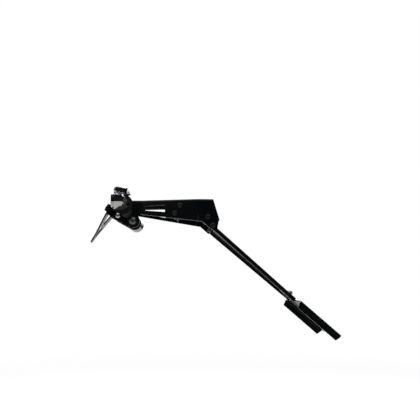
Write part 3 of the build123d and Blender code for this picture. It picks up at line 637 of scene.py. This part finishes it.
def lathe(graph, rings):
    """A turned form through its rings, one after the other."""
    sheet = graph.value(
        "GeometryNodeMeshGrid", Size_X=1.0, Size_Y=1.0, Vertices_X=len(rings), Vertices_Y=LATHE_SIDES + 1
    )
    spot = graph.node("ShaderNodeSeparateXYZ", Vector=graph.value("GeometryNodeInputPosition"))
    along = Value(graph, spot.outputs["X"])
    around = Value(graph, spot.outputs["Y"])
    index = graph.math("ROUND", (along + 0.5) * (len(rings) - 1))
    turn = (around + 0.5) * math.tau
    wedge = graph.math("MODULO", turn, math.pi / 3) - math.pi / 6
    corner = 1 / graph.math("COSINE", wedge) - 1
    radii, heights, hexagons, limits = (pick(graph, index, column) for column in zip(*rings))
    radius = graph.math("MINIMUM", radii * (1 + hexagons * corner), limits)
    shape = graph.value(
        "ShaderNodeCombineXYZ",
        X=radius * graph.math("COSINE", turn), Y=radius * graph.math("SINE", turn), Z=heights,
    )
    turned = graph.value("GeometryNodeSetPosition", Geometry=sheet, Position=shape)
    return graph.value("GeometryNodeMergeByDistance", Geometry=turned, Distance=JOIN_DISTANCE)


def dome_turns():
    """The angles of a dome's rings above its rim, up to its top."""
    return [math.radians(DOME_TURN * step / DOME_STEPS) for step in range(1, DOME_STEPS + 1)]


def thread(graph, radius, pitch, depth, bottom, top):
    """A helical ridge around the Z axis, from the bottom to the top."""
    helix = graph.value(
        "GeometryNodeCurveSpiral", Resolution=TURN_STEPS, Rotations=(top - bottom) / pitch,
        Start_Radius=radius, End_Radius=radius, Height=top - bottom,
    )
    lifted = graph.value(
        "GeometryNodeTransform", Geometry=helix, Translation=graph.value("ShaderNodeCombineXYZ", Z=bottom)
    )
    upright = graph.value("GeometryNodeSetCurveNormal", {"mode": "Z_UP"}, Curve=lifted)
    ridge = graph.value(
        "GeometryNodeCurvePrimitiveCircle", {"mode": "RADIUS"}, Resolution=RIDGE_SIDES, Radius=depth
    )
    return graph.value("GeometryNodeCurveToMesh", Curve=upright, Profile_Curve=ridge, Fill_Caps=True)


def place_copies(graph, inputs, *forms):
    """Sets the forms on the tree's points, turned as the points say, as one mesh with its finish."""
    joined = graph.node("GeometryNodeJoinGeometry")
    for form in reversed(forms):
        graph.feed(joined.inputs[0], form)
    turn = graph.value("GeometryNodeInputNamedAttribute", {"data_type": "QUATERNION"}, Name="turn")
    copies = graph.value(
        "GeometryNodeInstanceOnPoints", Points=inputs["Points"], Instance=Value(graph, joined.outputs[0]),
        Rotation=turn,
    )
    real = graph.value("GeometryNodeRealizeInstances", Geometry=copies)
    done = graph.value("GeometryNodeSetMaterial", Geometry=real, Material=inputs["Finish"])
    graph.node("NodeGroupOutput", Grown=done)
    return graph.tree


def screw_tree():
    """A button-head screw: domed head with a hexagon socket, and a threaded shank."""
    graph, size = new_tree("button_screw", ("Head Width", "Head Height", "Length", "Shank Width"))
    head = size["Head Width"] / 2
    top = size["Head Height"]
    pitch = size["Shank Width"] * THREAD_PITCH
    ridge = pitch * THREAD_DEPTH
    core = size["Shank Width"] / 2 - ridge
    flat = size["Head Width"] * SOCKET_SHARE / 2
    mouth = flat * MOUTH_SHARE
    lip = top * LIP_SHARE
    tip = size["Length"] * -1
    rings = [ring(0.0, tip), ring(core * TIP_SHARE, tip), ring(core, tip + pitch), ring(core, 0.0)]
    rings += [ring(head * SEAT_SHARE, 0.0), ring(head, lip * SEAT_RISE), ring(head, lip)]
    for rise in dome_turns():
        rings.append(ring(mouth + (head - mouth) * math.cos(rise), lip + (top - lip) * math.sin(rise)))
    rings.append(ring(flat * SOCKET_FLARE, top - pitch * FLARE_START, 1, mouth))
    rings.append(ring(flat, top - pitch * FLARE_END, 1))
    rings.append(ring(flat, top * (1 - SOCKET_DEPTH), 1))
    rings.append(ring(0.0, top * (1 - SOCKET_DEPTH - SOCKET_CONE)))
    helix = thread(graph, core, pitch, ridge, tip + pitch, pitch * THREAD_RUNOUT)
    return place_copies(graph, size, lathe(graph, rings), helix)


def nut_tree():
    """A hexagon nut with chamfered corners and a countersunk bore."""
    graph, size = new_tree("hex_nut", ("Width", "Thickness", "Bore"))
    flat = size["Width"] / 2
    rise = flat * HEX_CORNER
    bore = size["Bore"] / 2
    sink = bore * SINK_SHARE
    half = size["Thickness"] / 2
    rings = []
    for side in (-1, 1):
        level = half * side
        face = [ring(bore, (half - sink) * side), ring(bore + sink, level), ring(flat * FACE_SHARE, level)]
        for step in range(CHAMFER_STEPS + 1):
            share = step / CHAMFER_STEPS
            face.append(ring(flat, (half - rise * CHAMFER_FALL * share) * side, 1, flat + rise * share))
        rings += face if side < 0 else face[::-1]
    rings.append(rings[0])
    return place_copies(graph, size, lathe(graph, rings))


def stud_tree():
    """The thread of a stud: a helical ridge that stands a little proud of it."""
    graph, size = new_tree("stud_thread", ("Width", "Length"))
    pitch = size["Width"] * STUD_PITCH
    ridge = pitch * THREAD_DEPTH
    radius = size["Width"] / 2 - ridge * STUD_SINK
    helix = thread(graph, radius, pitch, ridge, pitch, size["Length"] - pitch)
    return place_copies(graph, size, helix)


def chip_tree():
    """A light chip: a flanged foot and a clear dome over its disc."""
    graph, size = new_tree("light_chip", ("Width", "Height"))
    wide = size["Width"] / 2
    tall = size["Height"] * CHIP_TALL
    foot = tall * CHIP_FOOT
    flange = wide * FLANGE_SHARE
    dome = wide * CHIP_DOME
    rings = [ring(0.0, 0.0), ring(flange, 0.0), ring(flange, foot * FLANGE_SIDE)]
    rings += [ring(wide * FLANGE_TOP, foot), ring(dome, foot)]
    for rise in dome_turns():
        rings.append(ring(dome * math.cos(rise), foot + (tall - foot) * math.sin(rise) ** DOME_FULLNESS))
    return place_copies(graph, size, lathe(graph, rings))


def grow(name, tree, sizes, spots, slot, finish, replaced=None):
    """Grows a tree at the spots into one plain mesh, which may stand for a node of solids."""
    points = bpy.data.meshes.new(name + "_points")
    points.from_pydata([tuple(point) for _, point in spots], [], [])
    turns = points.attributes.new("turn", "QUATERNION", "POINT")
    turns.data.foreach_set("value", [part for turn, _ in spots for part in turn])
    piece = bpy.data.objects.new(name, points)
    scene.collection.objects.link(piece)
    grower = piece.modifiers.new("grown", "NODES")
    grower.node_group = tree
    wanted = {**sizes, "Finish": finish}
    for socket in tree.interface.items_tree:
        if socket.in_out == "INPUT" and socket.name in wanted:
            given = wanted[socket.name]
            grower[socket.identifier] = float(given) if socket.name in sizes else given
    grown = piece.evaluated_get(bpy.context.evaluated_depsgraph_get())
    plain = bpy.data.meshes.new_from_object(grown)
    piece.modifiers.clear()
    piece.data = plain
    plain.name = name
    form = bmesh.new()
    form.from_mesh(plain)
    bmesh.ops.recalc_face_normals(form, faces=form.faces)
    form.to_mesh(plain)
    form.free()
    plain.shade_smooth()
    plain.set_sharp_from_angle(angle=SMOOTH_ANGLE)
    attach(piece, "root")
    if replaced:
        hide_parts(replaced)


def grow_all(names, ending, tree, measure, finish=None, stands=True):
    """Grows a tree for each node, from what is measured on it."""
    for name in names:
        slot = node_slot[name]
        sizes, spots = measure(nodes[name])
        replaced = name if stands else None
        grow(name + ending, tree, sizes, spots, slot, finish or finishes[slot], replaced)


screw = screw_tree()
dulled = zinc_plating("dulled_zinc", DULL_ZINC)
grow_all(BOLT_NODES, "_threaded", screw, measure_bolts)
grow_all(["pivot_bolts"], "_threaded", screw, measure_bolts, dulled)
grow_all(NUT_NODES, "_chamfered", nut_tree(), measure_nuts)
grow_all(STUD_NODES, "_thread", stud_tree(), measure_studs, stands=False)
grow_all(BOARD_NODES, "_chips", chip_tree(), measure_chips, light_chip(), stands=False)


# Camera, light and floor
camera_data = bpy.data.cameras.new("camera")
camera = bpy.data.objects.new("camera", camera_data)
scene.collection.objects.link(camera)
camera.location = EYE
camera.rotation_mode = "QUATERNION"
camera.rotation_quaternion = (AIM - EYE).to_track_quat("-Z", "Y")
camera_data.angle = VIEW_ANGLE
camera_data.clip_start = NEAREST_SEEN
scene.camera = camera


def seen_directly(graph):
    """1 for the rays of the camera, of reflections and through lenses, 0 for light that only brightens."""
    path = graph.node("ShaderNodeLightPath")
    straight = Value(graph, path.outputs["Is Camera Ray"])
    mirrored = Value(graph, path.outputs["Is Glossy Ray"])
    through = Value(graph, path.outputs["Is Transmission Ray"])
    return graph.math("MAXIMUM", graph.math("MAXIMUM", straight, mirrored), through)


world = bpy.data.worlds.new("studio")
world.use_nodes = True
scene.world = world
sky = Graph(world.node_tree)
sky.tree.nodes.clear()
direct = seen_directly(sky)
backdrop = sky.value("ShaderNodeBackground", Color=WHITE, Strength=AMBIENT + direct * (1 - AMBIENT))
sky.node("ShaderNodeOutputWorld", Surface=backdrop)

for name, lamp in LAMPS.items():
    light = bpy.data.lights.new(name, "AREA")
    light.shape = "DISK"
    light.size = lamp["size"]
    light.energy = lamp["power"]
    holder = bpy.data.objects.new(name, light)
    scene.collection.objects.link(holder)
    holder.location = lamp["place"]
    holder.rotation_mode = "QUATERNION"
    holder.rotation_quaternion = (AIM - Vector(lamp["place"])).to_track_quat("-Z", "Y")


def studio_floor():
    """A pale floor that keeps the soft shadow, fades into the white around it and is clear from below."""
    mesh = bpy.data.meshes.new("floor")
    form = bmesh.new()
    bmesh.ops.create_circle(form, cap_ends=True, segments=FLOOR_SIDES, radius=FLOOR_RADIUS)
    bmesh.ops.translate(form, verts=form.verts, vec=(0, 0, FLOOR_Z))
    form.to_mesh(mesh)
    form.free()
    floor = bpy.data.objects.new("floor", mesh)
    scene.collection.objects.link(floor)
    pale = Finish("pale_floor")
    flat = pale.value(
        "ShaderNodeVectorMath", {"operation": "MULTIPLY"}, Vector=pale.place, Vector_001=(1, 1, 0)
    )
    reach = pale.value("ShaderNodeVectorMath", {"operation": "LENGTH"}, out="Value", Vector=flat)
    rim = pale.spread(reach, FLOOR_RADIUS - FLOOR_FADE, FLOOR_RADIUS)
    glow = pale.value("ShaderNodeEmission", Color=WHITE, Strength=seen_directly(pale) * FLOOR_GLOW)
    matt = pale.value("ShaderNodeBsdfDiffuse", Color=FLOOR_COLOUR)
    lit = pale.value("ShaderNodeAddShader", Shader=glow, Shader_001=matt)
    clear = pale.value("ShaderNodeBsdfTransparent")
    below = pale.value("ShaderNodeNewGeometry", out="Backfacing")
    away = pale.math("MAXIMUM", rim, below)
    mixed = pale.value("ShaderNodeMixShader", Fac=away, Shader=lit, Shader_001=clear)
    pale.node("ShaderNodeOutputMaterial", Surface=mixed)
    mesh.materials.append(pale.material)


studio_floor()


def dark_screen():
    """A dark curved backdrop behind the camera, seen only in reflections, like a studio's unlit side."""
    mesh = bpy.data.meshes.new("dark_screen")
    first, last = (math.radians(side) for side in SCREEN_SIDES)
    bearings = [first + (last - first) * step / SCREEN_STEPS for step in range(SCREEN_STEPS + 1)]
    corners = [
        (SCREEN_RADIUS * math.cos(bearing), SCREEN_RADIUS * math.sin(bearing), height)
        for bearing in bearings for height in (FLOOR_Z, SCREEN_TOP)
    ]
    panels = [(2 * step, 2 * step + 1, 2 * step + 3, 2 * step + 2) for step in range(SCREEN_STEPS)]
    mesh.from_pydata(corners, [], panels)
    screen = bpy.data.objects.new("dark_screen", mesh)
    scene.collection.objects.link(screen)
    cloth = Finish("dark_cloth")
    weave = cloth.blend(cloth.noise(4 * MM, detail=2.0), grey(0.07), grey(0.1))
    mesh.materials.append(cloth.surface(Base_Color=weave, Roughness=1.0))
    screen.visible_camera = False
    screen.visible_diffuse = False
    screen.visible_transmission = False
    screen.visible_shadow = False


dark_screen()
